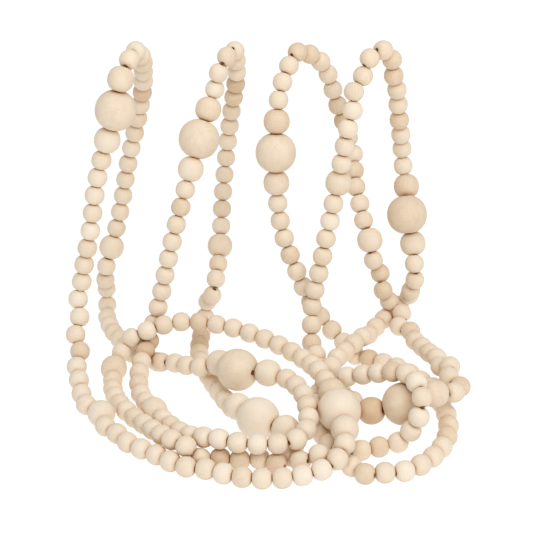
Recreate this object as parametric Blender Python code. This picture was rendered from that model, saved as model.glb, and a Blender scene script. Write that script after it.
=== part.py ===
"""Wood bead garland: one string of round wood beads in three sizes, hung in four loops, its lower half lying in coils.

The beads repeat along the string: a run of sixteen small ones, then either one medium bead or a large one
between two mediums. ROUTE gives a few bead places for each run, set by hand. settle() then slides the beads
until neighbours on the string nearly touch, crossings clear each other and nothing is under the floor.
Tables are in millimetres, and the objects are built in metres.
"""
import math

import bpy
import numpy as np
from mathutils import Vector

MM = 0.001

# A bead is a ball a little short along its hole: radius across the hole, half its length along the hole.
RADIUS = {"small": 6.0, "medium": 8.0, "large": 12.5}
HALF_LENGTH = {"small": 5.55, "medium": 7.5, "large": 11.8}
WAIST_RADIUS = 2.2
GAP = 0.3
CROSSING_GAP = 0.45
NEARBY = 6.0
SHARPEST_BEND = {"small": 58, "medium": 38, "large": 38}

RUN = 16
SINGLE = ("medium",)
TRIO = ("medium", "large", "medium")
END = ()

# One row for each run: its name, the beads after it, and (bead, x, y, z) for some of its beads.
# Beads 1 to 16 are the run's own, and 17 to 19 the ones after it. Z is the height of the bead's centre.
ROUTE = (
    ("low_row", SINGLE, (
        (1, 11, -87, 6), (2, -1, -87, 6), (4, -24, -86, 6), (5, -35, -84, 6), (6, -42, -88, 12),
        (7, -49, -79, 13), (8, -54, -69, 12), (10, -68, -52, 9), (13, -88, -18, 7),
        (17, -92, 28, 9),
    )),
    ("big_arc", TRIO, (
        (1, -89, 38, 14), (2, -81, 38, 17), (4, -65, 47, 29), (7, -29, 45, 31), (10, 3, 30, 27),
        (13, 26, 6, 25), (16, 39, -26, 26), (18, 46, -58, 22),
    )),
    ("front_row", SINGLE, (
        (1, 48, -90, 16), (3, 33, -105, 9), (6, -1, -109, 6), (9, -32, -98, 6), (12, -61, -81, 6),
        (15, -85, -58, 7), (17, -98, -37, 9),
    )),
    ("loop_a_front", TRIO, (
        (2, -109, -17, 13), (5, -114, 13, 27), (8, -114, 33, 53), (12, -106, 38, 97),
        (16, -98, 43, 142), (18, -88, 44, 174), (19, -84, 47, 193),
    )),
    ("loop_a_top", SINGLE, (
        (1, -80, 51, 203), (2, -77, 62, 204), (3, -74, 72, 200), (5, -74, 90, 184),
        (7, -76, 104, 166), (9, -80, 113, 146), (12, -88, 118, 112), (15, -94, 117, 79),
        (17, -100, 113, 56),
    )),
    ("loop_a_back", TRIO, (
        (1, -104, 109, 43), (3, -105, 118, 21), (4, -105, 119, 12), (5, -105, 110, 8),
        (7, -99, 85, 6), (9, -87, 62, 6), (10, -83, 51, 6), (11, -77, 42, 6), (12, -69, 37, 8),
        (14, -55, 24, 13), (16, -38, 10, 18), (17, -26, 4, 22), (18, -12, -9, 25),
    )),
    ("upper_row", SINGLE, (
        (1, 13, -22, 26), (3, 25, -43, 26), (5, 28, -66, 22), (7, 21, -89, 18), (8, 11, -91, 18),
        (10, -12, -91, 18), (12, -34, -83, 15), (13, -44, -74, 12), (14, -51, -64, 10),
        (15, -56, -53, 9), (16, -59, -42, 8), (17, -65, -31, 8),
    )),
    ("loop_b_front", TRIO, (
        (2, -76, -9, 6), (5, -77, 28, 13), (7, -72, 54, 15), (9, -66, 57, 37), (12, -59, 57, 72),
        (16, -48, 67, 114), (18, -39, 78, 145),
    )),
    ("loop_b_top", SINGLE, (
        (1, -29, 92, 173), (3, -22, 92, 193), (4, -18, 102, 192), (6, -16, 117, 176),
        (9, -20, 131, 145), (12, -24, 135, 110), (14, -26, 127, 89), (17, -28, 112, 57),
    )),
    ("loop_b_back", TRIO, (
        (1, -29, 103, 48), (2, -31, 95, 39), (3, -33, 91, 30), (4, -36, 96, 22), (5, -38, 97, 12),
        (7, -40, 77, 7), (10, -40, 44, 6), (13, -29, 6, 6), (16, -18, -23, 6), (17, -13, -35, 12),
        (18, 1, -51, 12), (19, 12, -65, 10),
    )),
    ("outer_bend", SINGLE, (
        (1, 17, -73, 6), (2, 21, -83, 6), (3, 28, -89, 6), (4, 31, -96, 14), (5, 41, -90, 6),
        (6, 48, -97, 6), (7, 57, -100, 6), (9, 80, -101, 6), (12, 105, -77, 8), (15, 111, -43, 12),
        (17, 104, -19, 16),
    )),
    ("loop_c_front", TRIO, (
        (3, 84, 12, 17), (5, 67, 27, 15), (7, 52, 41, 20), (9, 37, 53, 33),
        (12, 22, 56, 63), (16, 10, 65, 106), (18, 9, 68, 139),
    )),
    ("loop_c_top", SINGLE, (
        (2, 13, 79, 180), (4, 23, 93, 194), (6, 37, 106, 185), (9, 49, 113, 154),
        (12, 59, 109, 122), (14, 61, 96, 105), (17, 69, 77, 75),
    )),
    ("loop_c_back", TRIO, (
        (2, 76, 73, 52), (5, 87, 66, 29), (8, 97, 38, 23), (11, 108, 3, 26), (14, 114, -26, 29),
        (15, 116, -37, 28), (16, 111, -46, 28), (17, 102, -53, 31), (18, 84, -52, 25),
        (19, 65, -49, 19),
    )),
    ("loop_d_front", SINGLE, (
        (2, 55, -31, 14), (4, 48, -9, 10), (6, 37, 8, 18), (8, 32, 27, 27),
        (10, 32, 38, 45), (13, 38, 42, 79), (17, 47, 49, 124),
    )),
    ("loop_d_top", TRIO, (
        (3, 53, 50, 160), (6, 61, 60, 189), (8, 74, 70, 203), (10, 82, 79, 184),
        (13, 87, 89, 152), (16, 91, 94, 119), (18, 94, 80, 91),
    )),
    ("loop_d_back", SINGLE, (
        (2, 98, 68, 52), (4, 94, 80, 33), (5, 90, 84, 26), (7, 79, 68, 23),
        (10, 63, 38, 22), (13, 47, 9, 24), (16, 35, -21, 16), (17, 33, -34, 12),
    )),
    ("inner_loop", END, (
        (1, 34, -47, 8), (3, 42, -70, 6), (5, 56, -75, 6), (7, 78, -71, 8), (8, 86, -73, 16),
        (9, 91, -76, 28), (10, 93, -73, 38), (11, 91, -63, 43), (12, 87, -52, 44),
        (13, 79, -44, 42), (14, 70, -35, 36), (16, 47, -22, 26),
    )),
)

# Rings of a bead's solid, by their angle in degrees from the hole at the bead's centre.
RINGS = {"small": (115, 65), "medium": (145, 110, 70, 35), "large": (150, 120, 90, 60, 30)}
SIDES = {"small": 8, "medium": 8, "large": 10}
END_RADIUS = 1.5

WOOD = (0.80, 0.66, 0.49, 1.0)


def remove_objects():
    for obj in list(bpy.data.objects):
        bpy.data.objects.remove(obj, do_unlink=True)


def bead_kinds():
    """The kind of every bead in string order."""
    kinds = []
    for _name, after, _points in ROUTE:
        kinds += ["small"] * RUN + list(after)
    return kinds


def route_through(points, count):
    """A smooth curve through (number, x, y, z) points, read at every whole number from 0 to count - 1."""
    number = np.array([p[0] for p in points], float)
    place = np.array([p[1:] for p in points], float)
    step = np.diff(number)[:, None]
    slope = np.diff(place, axis=0) / step
    tangent = np.empty_like(place)
    tangent[0] = slope[0]
    tangent[-1] = slope[-1]
    tangent[1:-1] = (slope[:-1] * step[1:] + slope[1:] * step[:-1]) / (step[1:] + step[:-1])
    wanted = np.arange(count, dtype=float)
    k = np.clip(np.searchsorted(number, wanted, side="right") - 1, 0, len(points) - 2)
    h = step[k]
    t = (wanted - number[k])[:, None] / h
    return (
        (2 * t**3 - 3 * t**2 + 1) * place[k]
        + (t**3 - 2 * t**2 + t) * h * tangent[k]
        + (3 * t**2 - 2 * t**3) * place[k + 1]
        + (t**3 - t**2) * h * tangent[k + 1]
    )


def first_places():
    """Where the route's points put each bead, before the beads settle."""
    points = []
    start = 0
    for _name, after, own in ROUTE:
        points += [(start + bead - 1, x, y, z) for bead, x, y, z in own]
        start += RUN + len(after)
    return route_through(points, start)


def move_pairs(place, a, b, least, most):
    """Move the beads of each pair half the way each to a distance between least and most."""
    apart = place[b] - place[a]
    distance = np.linalg.norm(apart, axis=1)
    wrong = np.clip(distance, least, most) - distance
    push = 0.5 * apart * (wrong / distance)[:, None]
    np.add.at(place, a, -push)
    np.add.at(place, b, push)


def settle(kinds, place, rounds=1500, hold=0.6):
    """Slide the beads to their real spacing, clear of each other and of the floor, near their first places."""
    radius = np.array([RADIUS[k] for k in kinds])
    half = np.array([HALF_LENGTH[k] for k in kinds])
    link = half[:-1] + half[1:] + GAP
    sharpest = np.radians([min(SHARPEST_BEND[k] for k in kinds[i:i + 3]) for i in range(len(kinds) - 2)])
    bend = np.sqrt(link[:-1] ** 2 + link[1:] ** 2 + 2 * link[:-1] * link[1:] * np.cos(sharpest))
    wanted = place.copy()
    place = place.copy()
    index = np.arange(len(kinds))
    one, other = np.triu_indices(len(kinds), 2)
    touching = radius[one] + radius[other] + CROSSING_GAP
    for turn in range(rounds):
        pull = 0.08 * max(0.0, 1.0 - turn / (hold * rounds))
        place += pull * (wanted - place)
        for first in (0, 1, 2):
            a = index[first:-2:3]
            move_pairs(place, a, a + 2, bend[a], np.inf)
        if turn % 5 == 0:
            near = np.linalg.norm(place[one] - place[other], axis=1) < touching + NEARBY
        move_pairs(place, one[near], other[near], touching[near], np.inf)
        for first in (0, 1):
            a = index[first:-1:2]
            move_pairs(place, a, a + 1, link[a], link[a])
        place[:, 2] = np.maximum(place[:, 2], radius)
    return place


def on_the_floor(kinds, place):
    """Shift the beads so that the middle of their outline in plan is at X 0, Y 0."""
    radius = np.array([RADIUS[k] for k in kinds])[:, None]
    plan = place[:, :2]
    middle = ((plan - radius).min(axis=0) + (plan + radius).max(axis=0)) / 2
    return place - np.array([*middle, 0.0])


def hole_directions(place):
    """The direction of each bead's hole, halfway between the directions to its two neighbours."""
    link = np.diff(place, axis=0)
    link /= np.linalg.norm(link, axis=1)[:, None]
    hole = np.vstack([link[:1], link[:-1] + link[1:], link[-1:]])
    return hole / np.linalg.norm(hole, axis=1)[:, None]


def turned_solid(name, rings, sides, material):
    """A closed solid of round rings: a curve through (point, radius) in millimetres, with filled ends."""
    curve = bpy.data.curves.new(name, "CURVE")
    curve.dimensions = "3D"
    curve.bevel_depth = MM
    curve.bevel_resolution = (sides - 4) // 2
    curve.use_fill_caps = True
    spline = curve.splines.new("POLY")
    spline.points.add(len(rings) - 1)
    for knot, (point, radius) in zip(spline.points, rings):
        knot.co = (*(Vector(point) * MM), 1.0)
        knot.radius = radius
    curve.materials.append(material)
    obj = bpy.data.objects.new(name, curve)
    bpy.context.collection.objects.link(obj)
    return obj


def bead_rings(kind, place, hole):
    """The (centre, radius) rings of one bead, between its two ends."""
    rings = []
    for degrees in RINGS[kind]:
        angle = math.radians(degrees)
        rings.append((place + HALF_LENGTH[kind] * math.cos(angle) * hole, RADIUS[kind] * math.sin(angle)))
    return rings


def bead_end(kind, place, hole, side):
    """The small flat end of a bead, where the string goes in: side is -1 or 1 along the hole."""
    return place + side * HALF_LENGTH[kind] * hole, END_RADIUS


def run_rings(place, hole):
    """Rings of a run of small beads, with one round the string between neighbours."""
    rings = [bead_end("small", place[0], hole[0], -1)]
    for i in range(RUN):
        rings += bead_rings("small", place[i], hole[i])
        if i + 1 < RUN:
            rings.append(((place[i] + place[i + 1]) / 2, WAIST_RADIUS))
    rings.append(bead_end("small", place[-1], hole[-1], 1))
    return rings


def single_rings(kind, place, hole):
    inner = bead_rings(kind, place, hole)
    return [bead_end(kind, place, hole, -1), *inner, bead_end(kind, place, hole, 1)]


def wood(name):
    material = bpy.data.materials.new(name)
    material.use_nodes = True
    shader = material.node_tree.nodes["Principled BSDF"]
    shader.inputs["Base Color"].default_value = WOOD
    shader.inputs["Roughness"].default_value = 0.6
    shader.inputs["Metallic"].default_value = 0.0
    return material


def build():
    remove_objects()
    kinds = bead_kinds()
    place = on_the_floor(kinds, settle(kinds, first_places()))
    hole = hole_directions(place)
    woods = {kind: wood(f"{kind}_bead_wood") for kind in RADIUS}
    made = {"medium": 0, "large": 0}
    at = 0
    for name, after, _points in ROUTE:
        run = slice(at, at + RUN)
        turned_solid(f"small_beads_{name}", run_rings(place[run], hole[run]), SIDES["small"], woods["small"])
        at += RUN
        for kind in after:
            made[kind] += 1
            rings = single_rings(kind, place[at], hole[at])
            turned_solid(f"{kind}_bead_{made[kind]:02d}", rings, SIDES[kind], woods[kind])
            at += 1


build()
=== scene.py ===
"""Looks of the wood bead garland: bored and turned beads on a brown twine, on a pale floor in soft light.

The beads' places come from the same route and the same settling as the part's source. Lengths are in
millimetres unless a name ends in _M, and objects are made in metres. Angles are in degrees.
"""

import math

import bpy
import numpy as np
from mathutils import Euler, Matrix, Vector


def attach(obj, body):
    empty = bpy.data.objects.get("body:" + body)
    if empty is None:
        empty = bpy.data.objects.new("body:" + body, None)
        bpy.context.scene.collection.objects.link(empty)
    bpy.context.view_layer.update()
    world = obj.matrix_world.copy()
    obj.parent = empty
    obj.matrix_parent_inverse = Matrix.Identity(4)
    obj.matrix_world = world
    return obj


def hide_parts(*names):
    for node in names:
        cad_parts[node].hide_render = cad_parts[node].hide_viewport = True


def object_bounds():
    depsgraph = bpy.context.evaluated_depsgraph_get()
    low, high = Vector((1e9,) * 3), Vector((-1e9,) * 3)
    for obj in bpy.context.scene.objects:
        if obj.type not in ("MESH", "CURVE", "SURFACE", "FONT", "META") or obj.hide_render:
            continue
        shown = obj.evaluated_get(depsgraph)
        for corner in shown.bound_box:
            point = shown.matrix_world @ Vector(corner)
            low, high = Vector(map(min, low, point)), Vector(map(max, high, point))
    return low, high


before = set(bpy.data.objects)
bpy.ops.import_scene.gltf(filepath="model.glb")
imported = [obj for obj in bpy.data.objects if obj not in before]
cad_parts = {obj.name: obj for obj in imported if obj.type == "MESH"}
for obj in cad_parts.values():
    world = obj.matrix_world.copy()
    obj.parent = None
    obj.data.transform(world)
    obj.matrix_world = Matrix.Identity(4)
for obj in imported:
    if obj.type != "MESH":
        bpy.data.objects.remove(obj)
CAD_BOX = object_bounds()

MM = 0.001
SEED = 41
# A direction whose Z is more than this is steep, so a square to it is found with X instead of Z.
STEEP = 0.9

# A bead is a ball a little short along its hole: radius across the hole, half its length along the hole.
RADIUS = {"small": 6.0, "medium": 8.0, "large": 12.5}
HALF_LENGTH = {"small": 5.55, "medium": 7.5, "large": 11.8}

# The gap between neighbours on the string, the least gap between strands that cross, and how sharply the
# string may bend beside each kind of bead.
GAP = 0.3
CROSSING_GAP = 0.45
SHARPEST_BEND = {"small": 58, "medium": 38, "large": 38}

# How the beads settle: the rounds, the pull towards the route at the start, the share of the rounds in which
# it fades, and how often and how far round each bead others are looked for.
SETTLE_ROUNDS = 1500
FIRST_PULL = 0.08
PULL_SHARE = 0.6
LOOK_EVERY = 5
NEARBY = 6.0

# Each run has this many small beads. After it comes one of these groups.
RUN = 16
SINGLE = ("medium",)
TRIO = ("medium", "large", "medium")
END = ()

# One row for each run: its name, the beads after it, and (bead, x, y, z) for some of its beads.
# Beads 1 to 16 are the run's own, and 17 to 19 the ones after it. Z is the height of the bead's centre.
ROUTE = (
    ("low_row", SINGLE, (
        (1, 11, -87, 6), (2, -1, -87, 6), (4, -24, -86, 6), (5, -35, -84, 6), (6, -42, -88, 12),
        (7, -49, -79, 13), (8, -54, -69, 12), (10, -68, -52, 9), (13, -88, -18, 7),
        (17, -92, 28, 9),
    )),
    ("big_arc", TRIO, (
        (1, -89, 38, 14), (2, -81, 38, 17), (4, -65, 47, 29), (7, -29, 45, 31), (10, 3, 30, 27),
        (13, 26, 6, 25), (16, 39, -26, 26), (18, 46, -58, 22),
    )),
    ("front_row", SINGLE, (
        (1, 48, -90, 16), (3, 33, -105, 9), (6, -1, -109, 6), (9, -32, -98, 6), (12, -61, -81, 6),
        (15, -85, -58, 7), (17, -98, -37, 9),
    )),
    ("loop_a_front", TRIO, (
        (2, -109, -17, 13), (5, -114, 13, 27), (8, -114, 33, 53), (12, -106, 38, 97),
        (16, -98, 43, 142), (18, -88, 44, 174), (19, -84, 47, 193),
    )),
    ("loop_a_top", SINGLE, (
        (1, -80, 51, 203), (2, -77, 62, 204), (3, -74, 72, 200), (5, -74, 90, 184),
        (7, -76, 104, 166), (9, -80, 113, 146), (12, -88, 118, 112), (15, -94, 117, 79),
        (17, -100, 113, 56),
    )),
    ("loop_a_back", TRIO, (
        (1, -104, 109, 43), (3, -105, 118, 21), (4, -105, 119, 12), (5, -105, 110, 8),
        (7, -99, 85, 6), (9, -87, 62, 6), (10, -83, 51, 6), (11, -77, 42, 6), (12, -69, 37, 8),
        (14, -55, 24, 13), (16, -38, 10, 18), (17, -26, 4, 22), (18, -12, -9, 25),
    )),
    ("upper_row", SINGLE, (
        (1, 13, -22, 26), (3, 25, -43, 26), (5, 28, -66, 22), (7, 21, -89, 18), (8, 11, -91, 18),
        (10, -12, -91, 18), (12, -34, -83, 15), (13, -44, -74, 12), (14, -51, -64, 10),
        (15, -56, -53, 9), (16, -59, -42, 8), (17, -65, -31, 8),
    )),
    ("loop_b_front", TRIO, (
        (2, -76, -9, 6), (5, -77, 28, 13), (7, -72, 54, 15), (9, -66, 57, 37), (12, -59, 57, 72),
        (16, -48, 67, 114), (18, -39, 78, 145),
    )),
    ("loop_b_top", SINGLE, (
        (1, -29, 92, 173), (3, -22, 92, 193), (4, -18, 102, 192), (6, -16, 117, 176),
        (9, -20, 131, 145), (12, -24, 135, 110), (14, -26, 127, 89), (17, -28, 112, 57),
    )),
    ("loop_b_back", TRIO, (
        (1, -29, 103, 48), (2, -31, 95, 39), (3, -33, 91, 30), (4, -36, 96, 22), (5, -38, 97, 12),
        (7, -40, 77, 7), (10, -40, 44, 6), (13, -29, 6, 6), (16, -18, -23, 6), (17, -13, -35, 12),
        (18, 1, -51, 12), (19, 12, -65, 10),
    )),
    ("outer_bend", SINGLE, (
        (1, 17, -73, 6), (2, 21, -83, 6), (3, 28, -89, 6), (4, 31, -96, 14), (5, 41, -90, 6),
        (6, 48, -97, 6), (7, 57, -100, 6), (9, 80, -101, 6), (12, 105, -77, 8), (15, 111, -43, 12),
        (17, 104, -19, 16),
    )),
    ("loop_c_front", TRIO, (
        (3, 84, 12, 17), (5, 67, 27, 15), (7, 52, 41, 20), (9, 37, 53, 33),
        (12, 22, 56, 63), (16, 10, 65, 106), (18, 9, 68, 139),
    )),
    ("loop_c_top", SINGLE, (
        (2, 13, 79, 180), (4, 23, 93, 194), (6, 37, 106, 185), (9, 49, 113, 154),
        (12, 59, 109, 122), (14, 61, 96, 105), (17, 69, 77, 75),
    )),
    ("loop_c_back", TRIO, (
        (2, 76, 73, 52), (5, 87, 66, 29), (8, 97, 38, 23), (11, 108, 3, 26), (14, 114, -26, 29),
        (15, 116, -37, 28), (16, 111, -46, 28), (17, 102, -53, 31), (18, 84, -52, 25),
        (19, 65, -49, 19),
    )),
    ("loop_d_front", SINGLE, (
        (2, 55, -31, 14), (4, 48, -9, 10), (6, 37, 8, 18), (8, 32, 27, 27),
        (10, 32, 38, 45), (13, 38, 42, 79), (17, 47, 49, 124),
    )),
    ("loop_d_top", TRIO, (
        (3, 53, 50, 160), (6, 61, 60, 189), (8, 74, 70, 203), (10, 82, 79, 184),
        (13, 87, 89, 152), (16, 91, 94, 119), (18, 94, 80, 91),
    )),
    ("loop_d_back", SINGLE, (
        (2, 98, 68, 52), (4, 94, 80, 33), (5, 90, 84, 26), (7, 79, 68, 23),
        (10, 63, 38, 22), (13, 47, 9, 24), (16, 35, -21, 16), (17, 33, -34, 12),
    )),
    ("inner_loop", END, (
        (1, 34, -47, 8), (3, 42, -70, 6), (5, 56, -75, 6), (7, 78, -71, 8), (8, 86, -73, 16),
        (9, 91, -76, 28), (10, 93, -73, 38), (11, 91, -63, 43), (12, 87, -52, 44),
        (13, 79, -44, 42), (14, 70, -35, 36), (16, 47, -22, 26),
    )),
)

# How each kind of bead is turned: radius of its hole, rounding of the hole's edge, how far its side is from
# a ball (2) to a barrel (3), and the facets of its mesh round the hole and from the hole's edge to the
# bead's middle.
TURNING = {
    "small": {"hole": 1.1, "edge": 0.4, "fullness": 2.2, "around": 30, "along": 10},
    "medium": {"hole": 1.25, "edge": 0.5, "fullness": 2.18, "around": 40, "along": 13},
    "large": {"hole": 1.3, "edge": 0.6, "fullness": 2.1, "around": 56, "along": 18},
}
# How dark the hole's rounded edge is painted at each of its steps, from the hole outwards: partly the
# scorched wood round a drilled hole, partly painted shade.
EDGE_SCORCH_AND_SHADE = (1.0, 0.75, 0.4, 0.1)
# How sharply the side turns into the flat end: the larger, the sharper.
SHOULDER_SHARPNESS = 6.0
# How far each bead's end reaches into the gap that the solids keep.
END_REACH = 0.14

# How unlike each other the beads are, as shares of RADIUS: the usual size, its range, and half of the most
# by which a bead is narrower one way than the other. About one bead in seven tilts off the string by more
# than LARGE_TILT.
USUAL_SIZE = 1.02
SIZE_RANGE = 0.02
OUT_OF_ROUND = 0.006
LARGE_TILT = 2.5

# Where in the plank a bead was cut: its distance from the pith, and how far along the grain to either side.
PITH_NEAREST = 6.0
PITH_FARTHEST = 45.0
GRAIN_REACH = 400.0

# The tone of the wood, from 0 for the palest cream to 1 for tan: the usual one and its spread.
TONE_MIDDLE = {"small": 0.40, "medium": 0.42, "large": 0.56}
TONE_SPREAD = 0.09
# Beads with a set tone: their tone, and their numbers in each run. Some stand out in the wood's own paler
# and darker tones; others carry painted light and shade, set paler to lift beads that lie in shadow and
# darker where shade falls on them.
SET_TONES_AND_PAINTED_LIGHT = (
    (0.08, {
        "big_arc": (3,), "front_row": (3, 4, 8), "loop_a_front": (8, 12), "upper_row": (9, 11),
        "loop_b_top": (1,), "loop_b_back": (18,), "outer_bend": (9,), "loop_d_front": (15,),
        "loop_d_back": (6,), "inner_loop": (11,),
    }),
    (0.24, {
        "big_arc": (1, 2, 18), "front_row": (17,), "loop_a_front": (3, 14, 15, 17), "loop_a_back": (4,),
        "upper_row": (12, 13), "loop_b_front": (9, 10, 11, 12, 17), "loop_b_back": (4, 13, 14, 17, 19),
        "loop_c_front": (11,), "loop_d_top": (4,), "inner_loop": (8, 9, 14, 16),
    }),
    (0.55, {
        "low_row": (2,), "loop_a_front": (18, 19), "loop_a_back": (18,), "loop_b_front": (3, 18, 19),
        "loop_c_front": (18,), "loop_c_top": (14,), "loop_c_back": (17,), "loop_d_front": (17,),
        "loop_d_top": (5, 6, 7, 11), "inner_loop": (10,),
    }),
    (0.70, {
        "low_row": (1, 3), "big_arc": (6,), "loop_a_front": (5,), "loop_a_back": (13,),
        "loop_b_front": (15,), "loop_b_top": (8,), "outer_bend": (7, 13), "loop_c_front": (13, 19),
        "loop_c_top": (4, 5, 9), "loop_c_back": (2, 3, 7, 15, 18), "loop_d_front": (8,),
        "loop_d_top": (9, 10, 13, 17, 18), "inner_loop": (6, 13),
    }),
    (0.88, {
        "low_row": (4,), "loop_a_top": (7,), "loop_b_front": (6, 7), "loop_b_top": (7,),
        "loop_b_back": (7,), "loop_c_front": (5,), "loop_c_top": (10,),
    }),
    (1.0, {"loop_b_back": (8,), "loop_c_back": (19,)}),
)

# The wood's patterns, by place in the plank, with their scales for each millimetre.
RINGS = {"Scale": 0.17, "Distortion": 3.0, "Detail": 2.0, "Detail_Scale": 0.6, "Detail_Roughness": 0.5}
FIBRE = {"Scale": 2.6, "Detail": 3.0, "Roughness": 0.6}
PORES = {"Scale": 4.5, "Detail": 1.0, "Roughness": 0.5}
PATCHES = {"Scale": 0.16, "Detail": 2.0, "Roughness": 0.5}
# Fibres and pores are long: how fast they change along the grain, as a share of how fast across it.
ALONG_THE_GRAIN = 0.14
# The pores' noise makes flecks that start at the first value and are full at the second.
FLECKS = (0.62, 0.74)
# How much each pattern changes the tone.
RINGS_SHARE = 0.05
FIBRE_SHARE = 0.45
PATCHES_SHARE = 0.38
FLECKS_SHARE = 0.15

# The wood's colour at each tone, and the tint inside the holes and on their edges: partly scorched wood,
# partly painted shade in the hole.
WOOD_COLOURS = (
    (0.0, (0.86, 0.755, 0.62)),
    (0.5, (0.80, 0.67, 0.515)),
    (1.0, (0.66, 0.48, 0.31)),
)
HOLE_SCORCH_AND_SHADE_TINT = (0.42, 0.27, 0.16, 1.0)
# Painted shade: wood in crevices, between beads and next to the floor is painted warmer and darker the more
# other surfaces close round it: how far away other surfaces count, the rays that look for them, and the tint
# at each share of open air round a point.
PAINTED_SHADE_REACH = 6.0
PAINTED_SHADE_SAMPLES = 6
PAINTED_SHADE_TINTS = (
    (0.0, (0.50, 0.27, 0.13)),
    (0.3, (0.93, 0.83, 0.70)),
    (0.7, (1.0, 1.0, 1.0)),
)

# The wood's roughness, from the fibres' lows to their highs, its relief and the depth of that relief.
WOOD_ROUGHNESS = (0.48, 0.68)
WOOD_RELIEF = 0.35
WOOD_RELIEF_M = 0.00006
# The rest of its surface. Light goes a little way into it.
WOOD_SURFACE = {
    "Subsurface Weight": 0.12,
    "Subsurface Radius": (1.0, 0.55, 0.3),
    "Subsurface Scale": 0.0012,
    "Specular IOR Level": 0.4,
}

# Twine: two plies twisted together. Its widest radius, the sides of its mesh, the step along it, the length
# of one twist, and how deep the groove between the plies is as a share of the radius.
TWINE_RADIUS = 0.55
TWINE_SIDES = 8
TWINE_STEP = 1.0
TWINE_TURN = 3.2
PLY_GROOVE = 0.24
TWINE_SURFACE = {"Roughness": 0.9}
TWINE_COLOURS = (
    (0.0, (0.10, 0.045, 0.02)),
    (1.0, (0.36, 0.20, 0.10)),
)
# The fuzz of its fibres, with its scale for each metre, and the relief and its depth.
FUZZ = {"Scale": 2500.0, "Detail": 2.0}
FUZZ_RELIEF = 0.5
FUZZ_RELIEF_M = 0.0001

# The view: where the camera stands, how far down it looks, and its focal length in the photograph's pixels.
CAMERA_M = (0.0018, -1.0019, 0.509)
CAMERA_DOWN = 22.99
PHOTO_PIXELS = 533
FOCAL_PIXELS = 1790.0
SENSOR_WIDTH = 36.0
NEAREST_SEEN_M = 0.05
FARTHEST_SEEN_M = 100.0

# A white ground, just under the beads. It glows, so that it stays as white and even as in the photo.
FLOOR_SIZE_M = 30.0
FLOOR_Z_M = -0.0003
FLOOR_SURFACE = {
    "Base Color": (0.12, 0.12, 0.12, 1.0),
    "Emission Color": (1.0, 1.0, 1.0, 1.0),
    "Emission Strength": 0.945,
    "Roughness": 0.9,
    "Specular IOR Level": 0.1,
}

WORLD_LIGHT = {"Color": (1.0, 1.0, 1.0, 1.0), "Strength": 0.48}
# Soft lights: name, place in metres, width in metres, watts.
SOFT_BOXES = (
    ("key", (0.55, -1.45, 1.35), 1.3, 19.5),
    ("top", (0.0, -0.1, 1.6), 1.2, 6.3),
)


def bead_kinds():
    """The kind of every bead in string order."""
    kinds = []
    for _name, after, _points in ROUTE:
        kinds += ["small"] * RUN + list(after)
    return kinds


def route_through(points, count):
    """A smooth curve through (number, x, y, z) points, read at every whole number from 0 to count - 1."""
    number = np.array([p[0] for p in points], float)
    place = np.array([p[1:] for p in points], float)
    step = np.diff(number)[:, None]
    slope = np.diff(place, axis=0) / step
    tangent = np.empty_like(place)
    tangent[0] = slope[0]
    tangent[-1] = slope[-1]
    tangent[1:-1] = (slope[:-1] * step[1:] + slope[1:] * step[:-1]) / (step[1:] + step[:-1])
    wanted = np.arange(count, dtype=float)
    k = np.clip(np.searchsorted(number, wanted, side="right") - 1, 0, len(points) - 2)
    h = step[k]
    t = (wanted - number[k])[:, None] / h
    return (
        (2 * t**3 - 3 * t**2 + 1) * place[k]
        + (t**3 - 2 * t**2 + t) * h * tangent[k]
        + (3 * t**2 - 2 * t**3) * place[k + 1]
        + (t**3 - t**2) * h * tangent[k + 1]
    )


def first_places():
    """Where the route's points put each bead, before the beads settle."""
    points = []
    start = 0
    for _name, after, own in ROUTE:
        points += [(start + bead - 1, x, y, z) for bead, x, y, z in own]
        start += RUN + len(after)
    return route_through(points, start)


def move_pairs(place, a, b, least, most):
    """Move the beads of each pair half the way each to a distance between least and most."""
    apart = place[b] - place[a]
    distance = np.linalg.norm(apart, axis=1)
    wrong = np.clip(distance, least, most) - distance
    push = 0.5 * apart * (wrong / distance)[:, None]
    np.add.at(place, a, -push)
    np.add.at(place, b, push)


def settle(kinds, place):
    """Slide the beads to their real spacing, clear of each other and the floor, near their first places."""
    radius = np.array([RADIUS[kind] for kind in kinds])
    half = np.array([HALF_LENGTH[kind] for kind in kinds])
    link = half[:-1] + half[1:] + GAP
    allowed = [SHARPEST_BEND[kind] for kind in kinds]
    sharpest = np.radians([min(three) for three in zip(allowed, allowed[1:], allowed[2:])])
    bend = np.sqrt(link[:-1] ** 2 + link[1:] ** 2 + 2 * link[:-1] * link[1:] * np.cos(sharpest))
    wanted = place.copy()
    place = place.copy()
    index = np.arange(len(kinds))
    one, other = np.triu_indices(len(kinds), 2)
    touching = radius[one] + radius[other] + CROSSING_GAP
    # Pairs along the string that share a bead are moved one after the other, in separate calls.
    for turn in range(SETTLE_ROUNDS):
        pull = FIRST_PULL * max(0.0, 1.0 - turn / (PULL_SHARE * SETTLE_ROUNDS))
        place += pull * (wanted - place)
        for first in (0, 1, 2):
            a = index[first:-2:3]
            move_pairs(place, a, a + 2, bend[a], np.inf)
        if turn % LOOK_EVERY == 0:
            near = np.linalg.norm(place[one] - place[other], axis=1) < touching + NEARBY
        move_pairs(place, one[near], other[near], touching[near], np.inf)
        for first in (0, 1):
            a = index[first:-1:2]
            move_pairs(place, a, a + 1, link[a], link[a])
        place[:, 2] = np.maximum(place[:, 2], radius)
    return place


def on_the_floor(kinds, place):
    """Shift the beads so that the middle of their outline in plan is at X 0, Y 0."""
    radius = np.array([RADIUS[kind] for kind in kinds])[:, None]
    plan = place[:, :2]
    middle = ((plan - radius).min(axis=0) + (plan + radius).max(axis=0)) / 2
    return place - np.array([*middle, 0.0])


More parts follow.
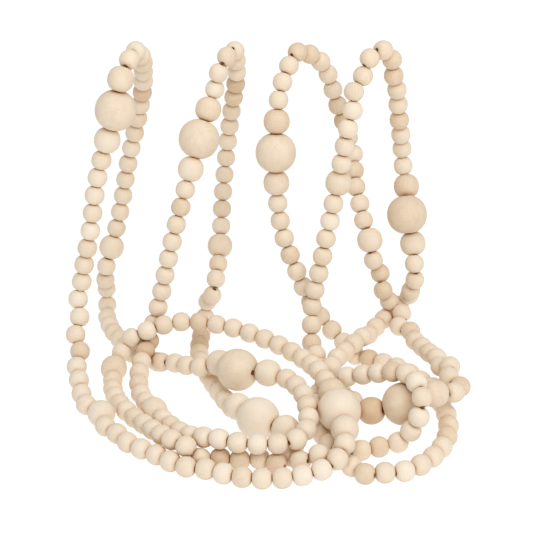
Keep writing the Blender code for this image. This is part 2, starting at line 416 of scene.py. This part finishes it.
def hole_directions(place):
    """The direction of each bead's hole, halfway between the directions to its two neighbours."""
    link = np.diff(place, axis=0)
    link /= np.linalg.norm(link, axis=1)[:, None]
    hole = np.vstack([link[:1], link[:-1] + link[1:], link[-1:]])
    return hole / np.linalg.norm(hole, axis=1)[:, None]


def bead_profile(kind):
    """Outline of a bead's cut face: distance from the hole's axis, place along it, and how far the hole's
    scorch and painted shade darken it, 1 inside the hole.
    """
    cut = TURNING[kind]
    hole, edge = cut["hole"], cut["edge"]
    half = HALF_LENGTH[kind] + END_REACH
    turn = np.linspace(0.0, math.pi / 2, len(EDGE_SCORCH_AND_SHADE))
    edge_r = hole + edge - edge * np.cos(turn)
    edge_z = half - edge + edge * np.sin(turn)
    power = 2.0 / cut["fullness"]
    start = math.asin(((hole + edge) / RADIUS[kind]) ** (1.0 / power))
    angle = np.linspace(start, math.pi / 2, cut["along"] + 1)[1:]
    side_r = RADIUS[kind] * np.sin(angle) ** power
    side_z = RADIUS[kind] * np.maximum(np.cos(angle), 0.0) ** power
    side_z = half - np.log1p(np.exp(SHOULDER_SHARPNESS * (half - side_z))) / SHOULDER_SHARPNESS
    side_z[-1] = 0.0
    upper_r = np.concatenate([edge_r, side_r])
    upper_z = np.concatenate([edge_z, side_z])
    hole_scorch_and_shade = np.concatenate([EDGE_SCORCH_AND_SHADE, np.zeros(len(side_r))])
    return (
        np.concatenate([upper_r, upper_r[-2::-1], [hole]]),
        np.concatenate([upper_z, -upper_z[-2::-1], [0.0]]),
        np.concatenate([hole_scorch_and_shade, hole_scorch_and_shade[-2::-1], [1.0]]),
    )


def across(direction):
    """Two directions square to this one and to each other."""
    helper = np.array([0.0, 0.0, 1.0]) if abs(direction[2]) < STEEP else np.array([1.0, 0.0, 0.0])
    side = np.cross(helper, direction)
    side /= np.linalg.norm(side)
    return side, np.cross(direction, side)


def random_turn(random):
    """Three directions square to each other, pointing any way."""
    axis = random.normal(size=3)
    axis /= np.linalg.norm(axis)
    side, up = across(axis)
    spin = random.uniform(0.0, 2 * math.pi)
    turned_side = math.cos(spin) * side + math.sin(spin) * up
    turned_up = math.cos(spin) * up - math.sin(spin) * side
    return np.array([axis, turned_side, turned_up])


def set_tones_and_painted_light():
    """The set tone of each bead that stands out or carries painted light and shade, by the name of its run
    and its number in it.
    """
    return {
        (run, bead): tone
        for tone, by_run in SET_TONES_AND_PAINTED_LIGHT
        for run, beads in by_run.items()
        for bead in beads
    }


def bead_points(kind, place, hole, tone, random):
    """One bead's points, and each point's place in the plank, its tone, and how far the hole's scorch and
    painted shade darken it, 1 inside the hole.
    """
    r, z, hole_scorch_and_shade = bead_profile(kind)
    around = TURNING[kind]["around"]
    usual_tilt = math.tan(math.radians(LARGE_TILT)) / 2
    tilt = usual_tilt * random.normal(size=3)
    axis = hole + tilt - (tilt @ hole) * hole
    axis /= np.linalg.norm(axis)
    side, up = across(axis)
    turn = np.arange(around) * 2 * math.pi / around
    size = USUAL_SIZE + SIZE_RANGE * (random.random() - 0.5)
    oval = OUT_OF_ROUND * random.random()
    phase = random.uniform(0.0, math.pi)
    out = 1.0 + oval * (np.cos(2 * (turn - phase)) - 1.0)
    ring = np.cos(turn)[:, None] * side + np.sin(turn)[:, None] * up
    local = (
        (r[:, None] * size)[:, :, None] * (out[:, None] * ring)[None, :, :]
        + z[:, None, None] * axis[None, None, :]
    ).reshape(-1, 3)
    pith = random.uniform(PITH_NEAREST, PITH_FARTHEST)
    start = np.array([random.uniform(-GRAIN_REACH, GRAIN_REACH), pith, 0.0])
    return {
        "points": place + local,
        "grain": local @ random_turn(random).T + start,
        "tone": np.full(len(local), tone),
        "hole_scorch_and_shade": np.repeat(hole_scorch_and_shade, around),
    }


def ring_faces(rings, around, closed):
    """Quads between neighbouring rings of points. The last ring joins the first if the outline is closed."""
    last = rings if closed else rings - 1
    a, b = np.meshgrid(np.arange(last), np.arange(around), indexing="ij")
    c, d = (a + 1) % rings, (b + 1) % around
    quads = [a * around + b, c * around + b, c * around + d, a * around + d]
    return np.stack(quads, axis=-1).reshape(-1, 4)


def mesh_object(name, points, faces, material, attributes):
    """An object of points in millimetres and faces. attributes gives each point's values by name."""
    mesh = bpy.data.meshes.new(name)
    mesh.from_pydata((points * MM).tolist(), [], faces)
    for key, values in attributes.items():
        kind, field = ("FLOAT_VECTOR", "vector") if values.ndim == 2 else ("FLOAT", "value")
        mesh.attributes.new(key, kind, "POINT").data.foreach_set(field, values.astype(np.float32).ravel())
    mesh.shade_smooth()
    mesh.materials.append(material)
    obj = bpy.data.objects.new(name, mesh)
    bpy.context.collection.objects.link(obj)
    return obj


def bead_group(name, beads, material):
    """One mesh of several beads. beads has (kind, place, hole, tone, random) rows."""
    parts = []
    faces = []
    start = 0
    for kind, place, hole, tone, random in beads:
        part = bead_points(kind, place, hole, tone, random)
        around = TURNING[kind]["around"]
        quads = ring_faces(len(part["points"]) // around, around, closed=True) + start
        faces += quads.tolist()
        start += len(part["points"])
        parts.append(part)
    joined = {key: np.concatenate([part[key] for part in parts]) for key in parts[0]}
    points = joined.pop("points")
    return mesh_object(name, points, faces, material, joined)


def twine_path(place, hole, kinds):
    """Points along the middle of every bead's hole, a step apart, with the corners eased."""
    knots = []
    for at, direction, kind in zip(place, hole, kinds):
        reach = HALF_LENGTH[kind] * direction
        knots += [at - reach, at, at + reach]
    knots = np.array(knots)
    length = np.concatenate([[0.0], np.cumsum(np.linalg.norm(np.diff(knots, axis=0), axis=1))])
    wanted = np.arange(0.0, length[-1], TWINE_STEP)
    straight = np.stack([np.interp(wanted, length, knots[:, i]) for i in range(3)], axis=1)
    padded = np.pad(straight, ((1, 1), (0, 0)), mode="edge")
    return (padded[:-2] + 2 * straight + padded[2:]) / 4


def twine_mesh(path, material):
    """A tube with the section of two plies, which turns as it goes along the path."""
    ahead = np.gradient(path, axis=0)
    ahead /= np.linalg.norm(ahead, axis=1)[:, None]
    side, _up = across(ahead[0])
    turn = np.arange(TWINE_SIDES) * 2 * math.pi / TWINE_SIDES
    points = []
    for i, (at, direction) in enumerate(zip(path, ahead)):
        side = side - (side @ direction) * direction
        side /= np.linalg.norm(side)
        up = np.cross(direction, side)
        twist = 2 * math.pi * i * TWINE_STEP / TWINE_TURN
        r = TWINE_RADIUS * (1.0 - PLY_GROOVE * np.abs(np.sin(turn - twist)))
        points.append(at + (r * np.cos(turn))[:, None] * side + (r * np.sin(turn))[:, None] * up)
    faces = ring_faces(len(path), TWINE_SIDES, closed=False)[:, ::-1].tolist()
    first_end = list(range(TWINE_SIDES))
    last_end = [len(path) * TWINE_SIDES - 1 - i for i in first_end]
    faces += [first_end[::-1], last_end[::-1]]
    return mesh_object("twine", np.concatenate(points), faces, material, {})


def new_material(name, settings):
    """A material, its node tree and its shader, with the shader's settings by the names of its inputs."""
    material = bpy.data.materials.new(name)
    material.use_nodes = True
    shader = material.node_tree.nodes["Principled BSDF"]
    for key, value in settings.items():
        shader.inputs[key].default_value = value
    return material, material.node_tree, shader


def feed(tree, value, socket):
    """Give a socket a plain value, or a link from another socket."""
    if isinstance(value, bpy.types.NodeSocket):
        tree.links.new(value, socket)
    else:
        socket.default_value = value


def node(tree, kind, **values):
    """A shader node. Values are its own settings, or what its inputs get, by name with _ for a space."""
    made = tree.nodes.new(kind)
    for key, value in values.items():
        if hasattr(made, key):
            setattr(made, key, value)
        else:
            feed(tree, value, made.inputs[key.replace("_", " ")])
    return made


def worked_out(tree, kind, operation, *terms):
    """A maths node of this kind and operation on some terms, which are sockets or plain values."""
    made = node(tree, kind, operation=operation)
    for term, socket in zip(terms, made.inputs):
        feed(tree, term, socket)
    return made.outputs[0]


def varied(tree, tone, pattern, share, middle=0.5):
    """tone + (pattern - middle) * share, where middle is the pattern's value that leaves the tone alone."""
    lowered = worked_out(tree, "ShaderNodeMath", "ADD", tone, -middle * share)
    return worked_out(tree, "ShaderNodeMath", "MULTIPLY_ADD", pattern, share, lowered)


def coloured(tree, amount, stops):
    """The colour for an amount, blended between stops, which are (amount, colour) rows."""
    ramp = node(tree, "ShaderNodeValToRGB", Fac=amount)
    elements = ramp.color_ramp.elements
    for position, _colour in stops[1:-1]:
        elements.new(position)
    for element, (position, colour) in zip(elements, stops):
        element.position = position
        element.color = (*colour, 1.0)
    return ramp.outputs["Color"]


def tinted(tree, colour, tint, share):
    """The colour multiplied by a tint, as far as the share says."""
    mix = node(tree, "ShaderNodeMix", data_type="RGBA", blend_type="MULTIPLY",
               Factor=share, A=colour, B=tint)
    return mix.outputs["Result"]


def add_relief(tree, shader, height, strength, distance_m):
    """Make the surface look as uneven as this height says."""
    bump = node(tree, "ShaderNodeBump", Strength=strength, Distance=distance_m, Height=height)
    feed(tree, bump.outputs["Normal"], shader.inputs["Normal"])


def bead_wood(name):
    """Pale unfinished wood: rings, fine fibres and short pores in each bead's own place in the plank."""
    material, tree, shader = new_material(name, WOOD_SURFACE)
    plank = node(tree, "ShaderNodeAttribute", attribute_name="grain").outputs["Vector"]
    tone = node(tree, "ShaderNodeAttribute", attribute_name="tone").outputs["Fac"]
    hole_scorch_and_shade = node(tree, "ShaderNodeAttribute", attribute_name="hole_scorch_and_shade").outputs["Fac"]
    fine = worked_out(tree, "ShaderNodeVectorMath", "MULTIPLY", plank, (ALONG_THE_GRAIN, 1.0, 1.0))

    rings = node(tree, "ShaderNodeTexWave", wave_type="RINGS", rings_direction="X", Vector=plank, **RINGS)
    fibre = node(tree, "ShaderNodeTexNoise", Vector=fine, **FIBRE).outputs["Fac"]
    pores = node(tree, "ShaderNodeTexNoise", Vector=fine, **PORES)
    patches = node(tree, "ShaderNodeTexNoise", Vector=plank, **PATCHES)
    start, full = FLECKS
    flecks = node(tree, "ShaderNodeMapRange", Value=pores.outputs["Fac"], From_Min=start, From_Max=full)
    fleck = flecks.outputs["Result"]

    tone = varied(tree, tone, rings.outputs["Fac"], RINGS_SHARE)
    tone = varied(tree, tone, fibre, FIBRE_SHARE)
    tone = varied(tree, tone, patches.outputs["Fac"], PATCHES_SHARE)
    tone = varied(tree, tone, fleck, FLECKS_SHARE, middle=0.0)

    # Painted shade: the wood's colour is darkened and warmed where other surfaces close round it.
    open_air = node(tree, "ShaderNodeAmbientOcclusion", samples=PAINTED_SHADE_SAMPLES,
                    Distance=PAINTED_SHADE_REACH * MM)
    painted_shade = coloured(tree, open_air.outputs["AO"], PAINTED_SHADE_TINTS)
    # Partly scorched wood, partly painted shade: the hole and its rounded edge are darkened.
    wood = tinted(tree, coloured(tree, tone, WOOD_COLOURS), HOLE_SCORCH_AND_SHADE_TINT, hole_scorch_and_shade)
    feed(tree, tinted(tree, wood, painted_shade, 1.0), shader.inputs["Base Color"])

    low, high = WOOD_ROUGHNESS
    rough = node(tree, "ShaderNodeMapRange", Value=fibre, To_Min=low, To_Max=high)
    feed(tree, rough.outputs["Result"], shader.inputs["Roughness"])
    height = worked_out(tree, "ShaderNodeMath", "SUBTRACT", fibre, fleck)
    add_relief(tree, shader, height, WOOD_RELIEF, WOOD_RELIEF_M)
    return material


def twine_fibre():
    """Brown twisted twine."""
    material, tree, shader = new_material("brown_twine", TWINE_SURFACE)
    place = node(tree, "ShaderNodeTexCoord").outputs["Object"]
    fuzz = node(tree, "ShaderNodeTexNoise", Vector=place, **FUZZ).outputs["Fac"]
    feed(tree, coloured(tree, fuzz, TWINE_COLOURS), shader.inputs["Base Color"])
    add_relief(tree, shader, fuzz, FUZZ_RELIEF, FUZZ_RELIEF_M)
    return material


def fit_out(piece, solid):
    """The piece stands for this solid: it joins the root body, and the solid is hidden."""
    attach(piece, "root")
    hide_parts(solid)


def dress():
    """Make every bead and the twine, and say which solid each stands for."""
    kinds = bead_kinds()
    place = on_the_floor(kinds, settle(kinds, first_places()))
    hole = hole_directions(place)
    woods = {kind: bead_wood(f"{kind}_bead_wood") for kind in RADIUS}
    set_and_painted_tones = set_tones_and_painted_light()
    count = {"medium": 0, "large": 0}
    at = 0
    for name, after, _points in ROUTE:
        rows = []
        for number in range(1, RUN + len(after) + 1):
            random = np.random.default_rng([SEED, at])
            usual_tone = TONE_MIDDLE[kinds[at]] + TONE_SPREAD * random.normal()
            # A set tone is the wood's own for some beads and painted light and shade for others.
            tone = set_and_painted_tones.get((name, number), usual_tone)
            rows.append((kinds[at], place[at], hole[at], tone, random))
            at += 1
        run = bead_group(f"turned_small_beads_{name}", rows[:RUN], woods["small"])
        fit_out(run, f"small_beads_{name}")
        for row in rows[RUN:]:
            kind = row[0]
            count[kind] += 1
            solid = f"{kind}_bead_{count[kind]:02d}"
            bead = bead_group(f"turned_{solid}", [row], woods[kind])
            fit_out(bead, solid)
    twine = twine_mesh(twine_path(place, hole, kinds), twine_fibre())
    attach(twine, "root")


def add_floor():
    """A plain white floor, wide enough to fill the view from any side."""
    half = FLOOR_SIZE_M / 2
    corners = [(x, y, FLOOR_Z_M) for x, y in ((-half, -half), (half, -half), (half, half), (-half, half))]
    mesh = bpy.data.meshes.new("floor")
    mesh.from_pydata(corners, [], [(0, 1, 2, 3)])
    material, _tree, _shader = new_material("white_floor", FLOOR_SURFACE)
    mesh.materials.append(material)
    floor = bpy.data.objects.new("floor", mesh)
    bpy.context.collection.objects.link(floor)


def add_soft_box(name, place_m, size_m, watts):
    """A square soft light that points at the middle of the garland."""
    light = bpy.data.lights.new(name, "AREA")
    light.size = size_m
    light.energy = watts
    obj = bpy.data.objects.new(name, light)
    obj.location = place_m
    middle = (CAD_BOX[0] + CAD_BOX[1]) / 2
    obj.rotation_euler = (obj.location - middle).to_track_quat("Z", "Y").to_euler()
    bpy.context.collection.objects.link(obj)


def add_light():
    """Even white light from all round, and the soft boxes."""
    world = bpy.data.worlds.new("studio")
    world.use_nodes = True
    background = world.node_tree.nodes["Background"]
    for key, value in WORLD_LIGHT.items():
        background.inputs[key].default_value = value
    bpy.context.scene.world = world
    for name, place_m, size_m, watts in SOFT_BOXES:
        add_soft_box(name, place_m, size_m, watts)


def add_camera():
    """A camera where the photograph's was, looking straight ahead and down."""
    camera = bpy.data.cameras.new("camera")
    camera.sensor_width = SENSOR_WIDTH
    camera.lens = SENSOR_WIDTH * FOCAL_PIXELS / PHOTO_PIXELS
    camera.clip_start = NEAREST_SEEN_M
    camera.clip_end = FARTHEST_SEEN_M
    obj = bpy.data.objects.new("camera", camera)
    obj.location = CAMERA_M
    obj.rotation_euler = Euler((math.radians(90.0 - CAMERA_DOWN), 0.0, 0.0))
    bpy.context.collection.objects.link(obj)
    bpy.context.scene.camera = obj


add_camera()
dress()
add_floor()
add_light()
bpy.context.scene.view_settings.view_transform = "Standard"
